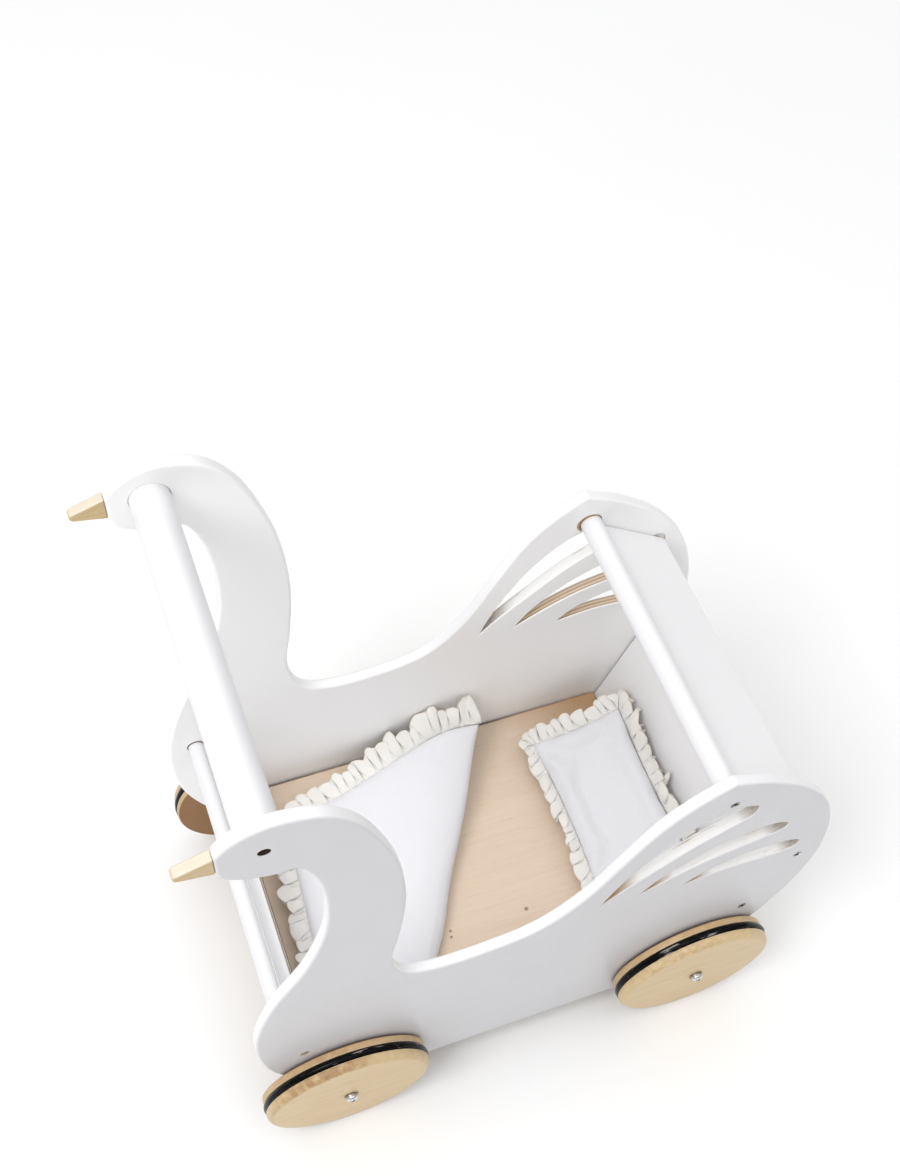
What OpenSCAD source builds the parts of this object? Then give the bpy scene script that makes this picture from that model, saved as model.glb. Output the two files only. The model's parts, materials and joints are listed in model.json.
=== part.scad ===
// Doll stroller: two swan-shaped side panels, a plywood bed between them and four free wheels.
// X runs from the beaks (-X) to the tails (+X), Y across the width, Z up from the ground.

/* [Side panels] */
// Thickness of the plywood of the side panels
panel_t = 9; // [8:0.5:12]
// Clear width between the two side panels
inner_w = 228; // [200:1:260]
// Thickness of a beak
beak_t = 7.4; // [6:0.2:8]

/* [Wheels] */
// Diameter of a wheel's wood, without the tyre
wheel_d = 130; // [124:1:134]
// Thickness of a wheel
wheel_t = 18.9; // [16:0.1:22]
// Diameter of the rubber cord that makes a tyre
cord_d = 6; // [4:0.5:7]
// How far a tyre stands out of the wood
tyre_proud = 1; // [0.5:0.1:1.5]
// Diameter of an axle screw's shank
axle_d = 6; // [5:0.5:7]

/* [Rails] */
// Diameter of the handle bar between the two heads
handle_d = 25; // [20:0.5:28]
// Diameter of the rail between the two tails
tail_rail_d = 16; // [12:0.5:16]
// Diameter of the thin rail between the two breasts
breast_rail_d = 12; // [8:0.5:14]

/* [Bed] */
// Thickness of the floor and of the boards at its ends
board_t = 9; // [6:0.5:9]
// Height of the breast board's top above the ground
breast_board_top = 180; // [150:1:184]
// Thickness of the duvet where it lies flat
duvet_t = 22; // [15:1:30]
// Thickness of the pillow at its edge near the duvet
pillow_t = 24; // [15:1:30]

/* [Hidden] */
$fn = 96;

// Colours
white_paint = [0.93, 0.93, 0.94];
birch = [0.85, 0.73, 0.54];
rubber = [0.06, 0.06, 0.06];
steel = [0.76, 0.76, 0.78];
cotton = [0.97, 0.97, 0.96];

// Clearances
bore_gap = 0.05;       // round a screw, a pin or a beak's tenon
socket_gap = 0.7;      // round a rail in its blind socket
joint_gap = 0.3;       // between a board and its neighbours
side_play = 0.4;       // of a wheel on its screw
rest_gap = 0.3;        // under the bedding

// Places on the panels: X from the head wheels' axle, Z from the ground
wheelbase = 293;
axle_z = wheel_d / 2 + tyre_proud;
handle_at = [-37.1, 495.4];
tail_rail_at = [265, 354.6];
breast_rail_at = [-40, 196.5];
breast_board_x = -28;
breast_screw_at = [breast_board_x, 139.5];
back_screw_low = [326.4, 138.6];
back_screw_high = [351.4, 217.9];
tail_edge_at = [327.5, 309];
floor_z = 99.5;
floor_under = floor_z - board_t;
beak_tip = [-81.3, 492.2];
beak_tip_r = 3.2;
beak_root = [-63, 494];
beak_root_h = 18.5;
tail_x = 371.3;        // the tails' furthest point
middle_x = (beak_tip[0] - beak_tip_r + tail_x) / 2;

// Depths across the width
inner_y = inner_w / 2;
outer_y = inner_y + panel_t;
panel_mid_y = inner_y + panel_t / 2;
socket_depth = 3;
washer_t = 1.2;
washer_d = 18;
wheel_y = outer_y + washer_t + side_play;

// The outline of a side panel, in three smooth stretches with corners between them.
// From under the head wheel up the breast and throat to the beak
breast = [
  [70, 31.5], [32, 34.5], [-4, 50], [-34, 80], [-54, 121], [-61.5, 166], [-59, 210], [-45, 258],
  [-23, 304], [-9.5, 352], [-6, 396], [-10, 436], [-20, 461.5], [-35, 463.5], [-51, 469.5],
  [-60.5, 477], beak_root - [0, beak_root_h / 2]
];
// From the beak over the head, down the neck, along the back and up to the tail's corner
back = [
  beak_root + [0, beak_root_h / 2], [-54, 513.5], [-38, 520.8], [-20, 520], [-1, 511.5], [15.5, 491],
  [28.5, 459], [38.5, 420], [43, 370], [40.5, 318], [36.5, 277], [45, 243], [67, 229], [104, 228],
  [143, 237], [173, 267], [194, 308], [214, 346], [234, 368.5], [258, 385.5]
];
// From the tail's corner down to the tail wheel and along the bottom
tail = [
  [258, 385.5], [287, 371], [319, 346], [345, 313], [362, 273], [370.2, 229], [370, 188],
  [360, 140], [339, 94], [306, 55], [270, 35.5], [235, 31.5]
];

// The three feather slots: a point near the back, then up one side and down the other
slot_high = [
  [188, 244], [200, 276], [220, 311], [243, 335.5], [265, 345.5], [285, 340], [287, 327],
  [276, 318], [252, 303], [226, 281], [204, 261]
];
slot_middle = [
  [217, 240.5], [232, 262], [256, 282.5], [284, 295.5], [309, 297], [322.5, 289.5], [320.5, 279.5],
  [301, 274], [270, 267], [244, 256]
];
slot_low = [
  [253, 232], [269, 246], [292, 255], [315, 257], [335, 253], [344.5, 246], [342, 236.5],
  [322, 234], [286, 236]
];

// Screws
screw_d = 4;
head_d = 6.6;
head_h = (head_d - screw_d) / 2;
rail_screw_l = 32;
board_screw_l = 30;
eye_d = 7.2;
eye_depth = 4;
axle_head_d = 9.4;
axle_head_h = 3.8;
axle_head_round = 2.6;
head_washer_d = 11;
axle_screw_l = 58;

// Boards and beams
beam_w = 24;
beam_h = 44;
cleat_w = 6;
cleat_h = 18;
floor_x0 = breast_board_x + board_t / 2 + cleat_w + 1;
floor_x1 = 305.5;
breast_board_h = breast_board_top - floor_under + 4;
back_step = back_screw_high - back_screw_low;
back_lean = atan2(back_step[0], back_step[1]);
back_below = 51;       // the back board's length under its lower screw
back_above = 107;      // and over it
tail_slope = 33.8;
tail_board_l = 69;     // from the tail rail to the centre of the rounded edge
pin_d = 5;
pin_inset = 2;         // from the centre of the rounded edge to the pins
pin_at = tail_edge_at + pin_inset * [-cos(tail_slope), sin(tail_slope)];
pin_in_board = 16;
pin_in_panel = 6;
pin_sink_d = 15;
pin_sink_depth = 1.5;

// Bedding: the duvet from above, and its height over the floor across the width
duvet_outline = [
  [-14, -112], [70, -112], [97, -72], [142, 7], [192, 92], [200, 112], [-14, 112]
];
duvet_height = [
  [-112, 0], [112, 0], [112, 46], [100, 46], [72, duvet_t + 6], [40, duvet_t], [-112, duvet_t]
];
// The pillow's two ends across the width, and its side view over the floor
pillow_y = [-84, 88];
pillow_side = [
  [214, 0], [306, 0], [319, 41], [308, 45], [216, pillow_t + 6], [208, pillow_t / 2]
];

// ------------------------------------------------------------------ curves

// The point at t (0 to 1) between b and c on a smooth curve through a, b, c and d
function spline(a, b, c, d, t) = 0.5 * (2 * b + (c - a) * t + (2 * a - 5 * b + 4 * c - d) * t * t
  + (3 * b - a - 3 * c + d) * t * t * t);

// A smooth curve through an open list of points
function smooth(p, steps = 6) = [
  for (i = [0 : len(p) - 2], s = [0 : steps - 1])
    spline(p[max(i - 1, 0)], p[i], p[i + 1], p[min(i + 2, len(p) - 1)], s / steps),
  p[len(p) - 1]
];

// A quarter circle of radius r about c, starting at angle from
function corner(c, r, from, steps = 5) = [
  for (s = [0 : steps]) c + r * [cos(from + 90 * s / steps), sin(from + 90 * s / steps)]
];

// A closed list of points without its last one
function open_end(p) = [for (i = [0 : len(p) - 2]) p[i]];

// ------------------------------------------------------------------ helpers

// Stands a flat [x, z] shape up between two Y values
module slab(y0, y1) {
  translate([-middle_x, y1, 0]) rotate([90, 0, 0]) linear_extrude(height = y1 - y0) children();
}

// A round bar along Y at a place on the panels
module rod(at, d, y0, y1) {
  translate([at[0] - middle_x, y1, at[1]]) rotate([90, 0, 0]) cylinder(d = d, h = y1 - y0);
}

// The same thing on the left and on the right
module both_sides() {
  children();
  mirror([0, 1, 0]) children();
}

// The room that a countersunk screw with its head at head_y fills, made larger by room
module screw_room(at, head_y, l, room = 0) {
  rod(at, screw_d + 2 * room, head_y - l - room, head_y - head_h);
  translate([at[0] - middle_x, head_y, at[1]]) rotate([90, 0, 0])
    cylinder(d1 = head_d + 2 * room, d2 = screw_d + 2 * room, h = head_h);
}

// A countersunk screw with a hexagon socket
module screw(at, head_y, l) {
  difference() {
    screw_room(at, head_y, l);
    translate([at[0] - middle_x, head_y + 1, at[1]]) rotate([90, 0, 0]) cylinder(d = 3, h = 2.4, $fn = 6);
  }
}

// ------------------------------------------------------------------ side panels

module swan() {
  polygon(concat(smooth(breast), smooth(back), open_end(smooth(tail))));
}

module slots() {
  for (s = [slot_high, slot_middle, slot_low]) polygon(open_end(smooth(concat(s, [s[0]]))));
}

module side_panel() {
  difference() {
    slab(inner_y, outer_y) difference() {
      swan();
      slots();
    }
    rod(handle_at, handle_d + 2 * joint_gap, inner_y - 1, inner_y + socket_depth);
    rod(tail_rail_at, tail_rail_d + 2 * socket_gap, inner_y - 1, inner_y + socket_depth);
    rod(breast_rail_at, breast_rail_d + 2 * joint_gap, inner_y - 1, inner_y + socket_depth);
    rod(pin_at, pin_sink_d, inner_y - 1, inner_y + pin_sink_depth);
    rod(pin_at, pin_d + 2 * bore_gap, inner_y - 1, inner_y + pin_in_panel + bore_gap);
    rod(handle_at, eye_d, outer_y - eye_depth, outer_y + 1);
    screw_room(handle_at, outer_y - eye_depth, rail_screw_l, bore_gap);
    for (at = [tail_rail_at, breast_screw_at, back_screw_low, back_screw_high])
      screw_room(at, outer_y, rail_screw_l, bore_gap);
    for (x = [0, wheelbase])
      rod([x, axle_z], axle_d + 2 * bore_gap, inner_y - 1, outer_y + 1);
    tenon(bore_gap);
  }
}

module side_panel_right() {
  color(white_paint) mirror([0, 1, 0]) side_panel();
}

module side_panel_left() {
  color(white_paint) side_panel();
}

// ------------------------------------------------------------------ beaks

// The round tenon that holds a beak in the panel's edge
module tenon(room = 0) {
  translate([beak_root[0] - middle_x - 1, panel_mid_y, beak_root[1]])
    rotate([0, 90, 0]) cylinder(d = 4 + 2 * room, h = 9 + room);
}

module beak() {
  rise = asin((beak_root_h / 2 - beak_tip_r) / (beak_root[0] - beak_tip[0]));
  tip_arc = [
    for (a = [90 + rise / 2 : (180 - rise) / 10 : 270 - rise / 2 + 0.01])
      beak_tip + beak_tip_r * [cos(a), sin(a)]
  ];
  root_x = beak_root[0] - 0.1;
  slab(panel_mid_y - beak_t / 2, panel_mid_y + beak_t / 2)
    polygon(concat([[root_x, beak_root[1] + 8.2]], tip_arc, [[root_x, beak_root[1] - 9]]));
  tenon();
}

module beak_right() {
  color(birch) mirror([0, 1, 0]) beak();
}

module beak_left() {
  color(birch) beak();
}

// ------------------------------------------------------------------ rails

module rail(at, d) {
  reach = inner_y + socket_depth;
  color(white_paint) difference() {
    rod(at, d, -reach, reach);
    both_sides() rod(at, screw_d + 2 * bore_gap, outer_y - rail_screw_l - eye_depth - 1, reach + 1);
  }
}

module handle_bar() {
  rail(handle_at, handle_d);
}

module tail_rail() {
  rail(tail_rail_at, tail_rail_d);
}

module breast_rail() {
  reach = inner_y + socket_depth;
  color(white_paint) rod(breast_rail_at, breast_rail_d, -reach, reach);
}

module rail_screws() {
  color(steel) both_sides() {
    screw(handle_at, outer_y - eye_depth, rail_screw_l);
    screw(tail_rail_at, outer_y, rail_screw_l);
  }
}

// ------------------------------------------------------------------ bed

module floor_board() {
  color(birch) translate([floor_x0 - middle_x, -inner_y + joint_gap, floor_under])
    cube([floor_x1 - floor_x0, inner_w - 2 * joint_gap, board_t]);
}

module breast_board() {
  color(white_paint) difference() {
    translate([breast_board_x - board_t / 2 - middle_x, -inner_y + joint_gap, floor_under - 4])
      cube([board_t, inner_w - 2 * joint_gap, breast_board_h]);
    both_sides() rod(breast_screw_at, screw_d + 2 * bore_gap, outer_y - board_screw_l - 1, outer_y);
  }
}

module breast_cleat() {
  color(birch) translate([breast_board_x + board_t / 2 - middle_x, -inner_y + joint_gap, floor_z - cleat_h])
    cube([cleat_w, inner_w - 2 * joint_gap, cleat_h]);
}

// A flat shape drawn about the back board's lower screw, with its long way up the lean
module leaning() {
  translate(back_screw_low) rotate(-back_lean) children();
}

module back_board() {
  color(white_paint) difference() {
    slab(-inner_y + joint_gap, inner_y - joint_gap) leaning()
      translate([-board_t / 2, -back_below]) square([board_t, back_below + back_above]);
    for (at = [back_screw_low, back_screw_high])
      both_sides() rod(at, screw_d + 2 * bore_gap, outer_y - board_screw_l - 1, outer_y);
  }
}

module board_screws() {
  color(steel) both_sides()
    for (at = [breast_screw_at, back_screw_low, back_screw_high]) screw(at, outer_y, board_screw_l);
}

module tail_board() {
  color(white_paint) difference() {
    slab(-inner_y + joint_gap, inner_y - joint_gap) translate(tail_edge_at) rotate(180 - tail_slope) {
      circle(d = board_t);
      translate([0, -board_t / 2]) square([tail_board_l, board_t]);
    }
    both_sides() rod(pin_at, pin_d + 2 * bore_gap, inner_y - pin_in_board - 0.5, outer_y);
  }
}

module tail_board_pins() {
  color(birch) both_sides() rod(pin_at, pin_d, inner_y - pin_in_board, inner_y + pin_in_panel);
}

module axle_beam(x) {
  color(birch) difference() {
    translate([x - beam_w / 2 - middle_x, -inner_y + joint_gap, floor_under - beam_h])
      cube([beam_w, inner_w - 2 * joint_gap, beam_h]);
    both_sides() rod([x, axle_z], axle_d + 2 * bore_gap, axle_seat_y - axle_screw_l - 1, outer_y);
  }
}

module axle_beam_head() {
  axle_beam(0);
}

module axle_beam_tail() {
  axle_beam(wheelbase);
}

// ------------------------------------------------------------------ wheels

// Where the head of an axle screw bears, on a washer that is just clear of the wheel
axle_seat_y = wheel_y + wheel_t + side_play + washer_t;
rim_r = wheel_d / 2;
face_round = 5.5;      // of the rim at the outer face
back_round = 1.5;      // and at the inner face
groove_y = 8.5;        // from the wheel's inner face to the middle of its groove
groove_w = cord_d + 2 * bore_gap;
groove_r = rim_r + tyre_proud - cord_d - bore_gap;

// Half a wheel's section: radius, and depth from its inner face
wheel_section = concat(
  [[axle_d / 2 + bore_gap, 0]],
  corner([rim_r - back_round, back_round], back_round, -90),
  [
    [rim_r, groove_y - groove_w / 2], [groove_r, groove_y - groove_w / 2],
    [groove_r, groove_y + groove_w / 2], [rim_r, groove_y + groove_w / 2]
  ],
  corner([rim_r - face_round, wheel_t - face_round], face_round, 0, 9),
  [[axle_d / 2 + bore_gap, wheel_t]]
);

// Turns a section round an axle on the left side, with its depth running outwards from y
module turned(x, y) {
  translate([x - middle_x, y, axle_z]) rotate([-90, 0, 0]) rotate_extrude() children();
}

module wheel(x) {
  turned(x, wheel_y) polygon(wheel_section);
}

module tyre(x) {
  turned(x, wheel_y) translate([rim_r + tyre_proud - cord_d / 2, groove_y]) circle(d = cord_d, $fn = 32);
}

module wheel_head_right() {
  color(birch) mirror([0, 1, 0]) wheel(0);
}

module wheel_head_left() {
  color(birch) wheel(0);
}

module wheel_tail_right() {
  color(birch) mirror([0, 1, 0]) wheel(wheelbase);
}

module wheel_tail_left() {
  color(birch) wheel(wheelbase);
}

module tyre_head_right() {
  color(rubber) mirror([0, 1, 0]) tyre(0);
}

module tyre_head_left() {
  color(rubber) tyre(0);
}

module tyre_tail_right() {
  color(rubber) mirror([0, 1, 0]) tyre(wheelbase);
}

module tyre_tail_left() {
  color(rubber) tyre(wheelbase);
}

// A pan-head screw with a cross recess
module axle_screw(x) {
  shoulder = [axle_head_d / 2 - axle_head_round, axle_head_h - axle_head_round];
  difference() {
    union() {
      turned(x, axle_seat_y)
        polygon(concat([[0, 0], [axle_head_d / 2, 0]], corner(shoulder, axle_head_round, 0), [[0, axle_head_h]]));
      rod([x, axle_z], axle_d, axle_seat_y - axle_screw_l, axle_seat_y + 1);
    }
    for (turn = [0, 90])
      translate([x - middle_x, axle_seat_y + axle_head_h, axle_z]) rotate([0, turn + 45, 0])
        cube([5, 3.6, 1.1], center = true);
  }
}

module axle_screws() {
  color(steel) both_sides() for (x = [0, wheelbase]) axle_screw(x);
}

// A washer on an axle screw, outwards from y
module washer(x, y, d) {
  difference() {
    rod([x, axle_z], d, y, y + washer_t);
    rod([x, axle_z], axle_d + 2 * bore_gap, y - 1, y + washer_t + 1);
  }
}

module axle_washers() {
  color(steel) both_sides() for (x = [0, wheelbase]) washer(x, outer_y, washer_d);
}

module head_washers() {
  color(steel) both_sides() for (x = [0, wheelbase]) washer(x, axle_seat_y - washer_t, head_washer_d);
}

// ------------------------------------------------------------------ bedding

module duvet() {
  color(cotton) translate([-middle_x, 0, floor_z + rest_gap]) intersection() {
    linear_extrude(height = 60) polygon(duvet_outline);
    translate([-20, 0, 0]) rotate([90, 0, 90]) linear_extrude(height = 240) polygon(duvet_height);
  }
}

module pillow() {
  color(cotton) translate([0, 0, floor_z + rest_gap])
    slab(pillow_y[0], pillow_y[1]) polygon(pillow_side);
}

side_panel_right();
side_panel_left();
beak_right();
beak_left();
handle_bar();
tail_rail();
breast_rail();
rail_screws();
floor_board();
breast_board();
breast_cleat();
back_board();
board_screws();
tail_board();
tail_board_pins();
axle_beam_head();
axle_beam_tail();
wheel_head_right();
wheel_head_left();
wheel_tail_right();
wheel_tail_left();
tyre_head_right();
tyre_head_left();
tyre_tail_right();
tyre_tail_left();
axle_screws();
axle_washers();
head_washers();
duvet();
pillow();
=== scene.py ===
"""Looks for the doll stroller: softened woodwork, turned wheels, paint, birch, rubber, steel and bedding.

Metres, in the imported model's frame: +X towards the tails, +Y to the left seen from the handle, +Z up.
"""

import bisect
import json
import math
import random

import bmesh
import bpy
from mathutils import Matrix, Vector

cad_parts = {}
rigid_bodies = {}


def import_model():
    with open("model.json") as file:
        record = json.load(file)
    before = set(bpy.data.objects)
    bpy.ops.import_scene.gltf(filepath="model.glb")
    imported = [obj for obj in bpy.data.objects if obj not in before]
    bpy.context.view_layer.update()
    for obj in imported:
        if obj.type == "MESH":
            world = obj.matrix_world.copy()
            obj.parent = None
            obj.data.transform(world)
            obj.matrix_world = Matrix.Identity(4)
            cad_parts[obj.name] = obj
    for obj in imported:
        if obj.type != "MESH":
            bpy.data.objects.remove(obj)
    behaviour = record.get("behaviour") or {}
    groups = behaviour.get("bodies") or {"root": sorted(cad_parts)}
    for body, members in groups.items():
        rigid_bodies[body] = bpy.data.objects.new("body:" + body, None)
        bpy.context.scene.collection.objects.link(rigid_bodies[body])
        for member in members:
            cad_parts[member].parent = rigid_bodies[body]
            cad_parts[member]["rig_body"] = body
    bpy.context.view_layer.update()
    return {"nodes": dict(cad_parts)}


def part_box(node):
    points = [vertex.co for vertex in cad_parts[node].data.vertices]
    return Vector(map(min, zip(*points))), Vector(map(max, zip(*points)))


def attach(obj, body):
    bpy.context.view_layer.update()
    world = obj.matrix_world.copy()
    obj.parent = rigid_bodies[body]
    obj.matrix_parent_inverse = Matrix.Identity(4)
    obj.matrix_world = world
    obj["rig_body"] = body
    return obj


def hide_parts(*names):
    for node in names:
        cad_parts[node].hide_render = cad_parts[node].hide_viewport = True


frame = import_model()
NODES = frame["nodes"]

MM = 0.001
SIDES = {"right": -1, "left": 1}
AXLE_X = {"head": -143.4 * MM, "tail": 149.6 * MM}
AXLE_Z = 66 * MM
PANEL_OUT = 123 * MM              # outer face of the left panel
PANEL_IN = 114 * MM               # its inner face
FLOOR_Z = 99.5 * MM               # top of the floor board
CLEAT_X = -160.9 * MM             # inner face of the cleat at the head end
BACK_X = 165.95 * MM              # inner face of the leaning board at the tail end, at the floor
BACK_LEAN = math.radians(17.5)
FIT_GAP = 0.8 * MM                # left between the boards' ends and the panels
CLOTH_GAP = 0.8 * MM              # kept between the bedding and the wood
WHEEL_Y = 124.6 * MM              # inner face of the left wheels
WHEEL_R = 65 * MM
WHEEL_T = 18.9 * MM
GROOVE_Y = 8.5 * MM               # middle of a wheel's groove, from its inner face
CORD_R = 3 * MM                   # the tyre's cord
CORD_RING = WHEEL_R + 1 * MM - CORD_R
HEAD_Y = WHEEL_Y + WHEEL_T + 1.6 * MM   # under a left axle screw's head, past its washer
HEAD_R = 4.7 * MM                 # that head's radius and height
HEAD_H = 3.8 * MM
HEAD_RIM = 1.2 * MM               # the straight part of its height
THREAD = 0.75 * MM                # from one thread of the cotton to the next but one
SLOT_LEAST, SLOT_MOST = 60 * MM, 200 * MM   # a panel's edge groups of these extents are its slots
ALL = 1.0                         # an extent larger than every group of edges
SLOT_INDEX = 1                    # a panel's material for its slots' walls

# Bored holes in the panels that show bare wood, the handle bar's painted near black as shade: the node
# they are round, their reach, their material index, and whether their bottoms are bare too
BORED = [
    ("handle_bar", 4 * MM, 2, True),
    ("tail_rail", 9.2 * MM, 3, True),
    ("tail_board_pins", 8 * MM, 3, False),
]
# Both tips of the panels' slots, with the size of the darkened place at each, painted shade, and brown
# bare wood at the right panel's tips nearest the head, in millimetres: x, z, size
SLOT_TIPS = [
    (44.6, 245, 32), (73.6, 241.5, 30), (109.6, 233, 24),
    (142, 334, 17), (178, 286, 16), (200, 243, 15),
]
# Rings on the panels' inner faces round a rail: bare wood where paint has chipped off round the tail rail,
# and a very dark ring round the breast rail: the rail, how far aside in millimetres, the reach and the
# colour
RAIL_RINGS = [
    ("tail_rail", (-1.7, 0, 0.5), 9.4 * MM, (0.45, 0.30, 0.17)),
    ("breast_rail", (0, 0, 0.4), 7.1 * MM, (0.16, 0.11, 0.08)),
]
# Small dark marks on the floor, in millimetres: x, y, size
KNOTS = [(31.6, -57.5, 1.6), (-32.4, -55.5, 1.1), (-33.4, -60.5, 1.1)]


# ---------------------------------------------------------------- material helpers

def darker(color, share):
    return tuple(c * share for c in color)


def middle_of(node):
    low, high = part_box(node)
    return (low + high) / 2


class Look:
    """A material being built: the shader, and short calls that add nodes to it."""

    def __init__(self, name, **sockets):
        self.material = bpy.data.materials.new(name)
        self.material.use_nodes = True
        self.tree = self.material.node_tree
        self.shader = self.tree.nodes["Principled BSDF"]
        for socket, value in sockets.items():
            self.shader.inputs[socket.replace("_", " ")].default_value = value
        self.place = self.node("ShaderNodeTexCoord").outputs["Object"]

    def node(self, kind, inputs=None, **settings):
        n = self.tree.nodes.new(kind)
        for key, value in settings.items():
            setattr(n, key, value)
        for key, value in (inputs or {}).items():
            self.set(n.inputs[key], value)
        return n

    def set(self, socket, value):
        if isinstance(value, bpy.types.NodeSocket):
            self.tree.links.new(value, socket)
        else:
            socket.default_value = value

    def give(self, socket, value):
        self.set(self.shader.inputs[socket], value)

    def cover(self, amount, color):
        """Lays a colour over the one that the shader has so far."""
        before = self.shader.inputs["Base Color"].links[0].from_socket
        self.give("Base Color", self.blend(amount, before, color))

    def stretched(self, scale, move=(0, 0, 0)):
        """The place on the object, scaled differently along X, Y and Z."""
        inputs = {"Vector": self.place, "Scale": scale, "Location": move}
        return self.node("ShaderNodeMapping", inputs).outputs["Vector"]

    def noise(self, scale, detail=3, place=None, rough=0.55):
        inputs = {"Vector": place or self.place, "Scale": scale, "Detail": detail, "Roughness": rough}
        return self.node("ShaderNodeTexNoise", inputs).outputs["Fac"]

    def split(self, place=None):
        return self.node("ShaderNodeSeparateXYZ", {"Vector": place or self.place}).outputs

    def seen_from_side(self):
        """The place on the object with its Y left out."""
        x, _, z = self.split()
        return self.node("ShaderNodeCombineXYZ", {0: x, 2: z}).outputs[0]

    def distance(self, point, place=None):
        """How far the place is from a point."""
        inputs = {0: place or self.place, 1: point}
        return self.node("ShaderNodeVectorMath", inputs, operation="DISTANCE").outputs["Value"]

    def math(self, operation, a, b=0.0, clamp=False):
        n = self.node("ShaderNodeMath", operation=operation, use_clamp=clamp)
        self.set(n.inputs[0], a)
        self.set(n.inputs[1], b)
        return n.outputs[0]

    def times(self, a, b):
        return self.math("MULTIPLY", a, b)

    def band(self, value, low, high, to_low=0.0, to_high=1.0):
        """value from low to high, carried to to_low and to_high and held there outside them."""
        inputs = {0: value, 1: low, 2: high, 3: to_low, 4: to_high}
        return self.node("ShaderNodeMapRange", inputs).outputs[0]

    def blend(self, amount, a, b):
        """From colour a to colour b."""
        n = self.node("ShaderNodeMix", data_type="RGBA")
        self.set(n.inputs[0], amount)
        self.set(n.inputs[6], (*a, 1) if isinstance(a, tuple) else a)
        self.set(n.inputs[7], (*b, 1) if isinstance(b, tuple) else b)
        return n.outputs[2]

    def bump(self, height, distance):
        """Adds a height in metres to what the shader already has."""
        n = self.node("ShaderNodeBump", {"Height": height, "Distance": distance, "Strength": 1})
        before = self.shader.inputs["Normal"].links
        if before:
            self.set(n.inputs["Normal"], before[0].from_socket)
        self.give("Normal", n.outputs["Normal"])


# ---------------------------------------------------------------- materials

def white_paint(name, low, high):
    """Satin white paint: soft roller texture, and the plywood's grain just showing through.

    A panel's outer face is painted a little greyer, as painted shade, and its inner face a little whiter,
    as painted light, than low and high.
    """
    look = Look(name, IOR=1.47, Coat_Weight=0.12, Coat_Roughness=0.22)
    cloud = look.noise(7, 3)
    y = look.math("ABSOLUTE", look.split()[1])
    lit_inner_face = look.times(
        look.band(y, PANEL_IN - 0.4 * MM, PANEL_IN - 0.1 * MM),
        look.band(y, PANEL_IN + 1.5 * MM, PANEL_IN + 1 * MM),
    )
    # painted light: a panel's inner face takes a whiter paint than the rest
    inner = look.blend(lit_inner_face, look.blend(cloud, low, high), (0.96, 0.955, 0.955))
    for node, aside, reach, bare in RAIL_RINGS:
        middle = middle_of(node) + Vector(aside) * MM
        away = look.distance((middle.x, 0, middle.z), look.seen_from_side())
        rail_ring = look.times(look.band(away, reach, reach - 0.4 * MM), lit_inner_face)
        inner = look.blend(rail_ring, inner, bare)
    # painted shade: a panel's outer face takes a greyer paint than the rest
    outer = look.blend(cloud, (0.640, 0.634, 0.654), (0.670, 0.664, 0.688))
    shaded_outer_face = look.band(y, PANEL_OUT - 1.6 * MM, PANEL_OUT - 0.2 * MM)
    look.give("Base Color", look.blend(shaded_outer_face, inner, outer))
    look.give("Roughness", look.band(look.noise(45, 4), 0.3, 0.7, 0.31, 0.43))
    look.bump(look.noise(1500, 2), 0.03 * MM)
    look.bump(look.noise(220, 3), 0.08 * MM)
    look.bump(look.noise(1, 5, look.stretched((18, 900, 420))), 0.03 * MM)
    return look.material


def veneers(look, fibre):
    """Sawn plywood: its colour, and where its darker veneers are."""
    pair = 3 * MM                 # a pale and a dark veneer together
    layer = look.math("FRACT", look.times(look.math("ABSOLUTE", look.split()[1]), 1 / pair))
    dark = look.band(look.math("ABSOLUTE", look.math("SUBTRACT", layer, 0.5)), 0.17, 0.24, 1, 0)
    wood = look.blend(look.times(dark, 0.7), (0.72, 0.56, 0.38), (0.22, 0.12, 0.06))
    wood = look.blend(look.band(fibre, 0.42, 0.75, 0, 0.6), wood, (0.50, 0.34, 0.19))
    return wood, dark


def slot_paint(look, fibre):
    """White paint with painted shade at the slots' tips, and brown bare wood instead at the right panel's
    tips nearest the head.
    """
    x, y, _ = look.split()
    away_from_tips = 1.0
    for tip_x, tip_z, size in SLOT_TIPS:
        away = look.distance((tip_x * MM, 0, tip_z * MM), look.seen_from_side())
        away_from_tips = look.times(away_from_tips, look.band(away, size * 0.45 * MM, size * MM, 0.05, 1))
    # painted shade: grey-brown at the slots' tips, where their end walls lie in shade
    tip_shade_and_wood = look.blend(look.band(fibre, 0.40, 0.62), (0.50, 0.47, 0.43), (0.30, 0.25, 0.20))
    brown = look.times(look.band(x, 130 * MM, 125 * MM), look.band(y, 0, -1 * MM))
    tip_shade_and_wood = look.blend(brown, tip_shade_and_wood, (0.44, 0.30, 0.17))
    return look.blend(away_from_tips, tip_shade_and_wood, (0.90, 0.89, 0.885))


def ply_edge():
    """The sawn inside of a slot: thin paint, and bare veneers in the left panel's lower two slots."""
    look = Look("painted_ply_edge", Roughness=0.6)
    x, y, z = look.split()
    fibre = look.noise(1, 4, look.stretched((420, 2600, 420)))
    wood, dark = veneers(look, fibre)
    wear_and_glints = look.noise(1, 4, look.stretched((30, 220, 30), (0.3, 0, 0.1)))
    cover = look.band(wear_and_glints, 0.30, 0.42, 0.3, 0.97)
    line = look.math("ADD", look.times(x, 0.85), 195.4 * MM)   # runs between the highest slot and the next
    below = look.band(look.math("SUBTRACT", line, z), 0, 2 * MM)
    bare = look.times(look.band(y, 0, 1 * MM), below)
    cover = look.times(cover, look.band(bare, 0, 1, 1, 0.12))
    look.give("Base Color", look.blend(cover, wood, slot_paint(look, fibre)))
    look.bump(fibre, 0.12 * MM)
    look.bump(dark, 0.06 * MM)
    return look.material


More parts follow.
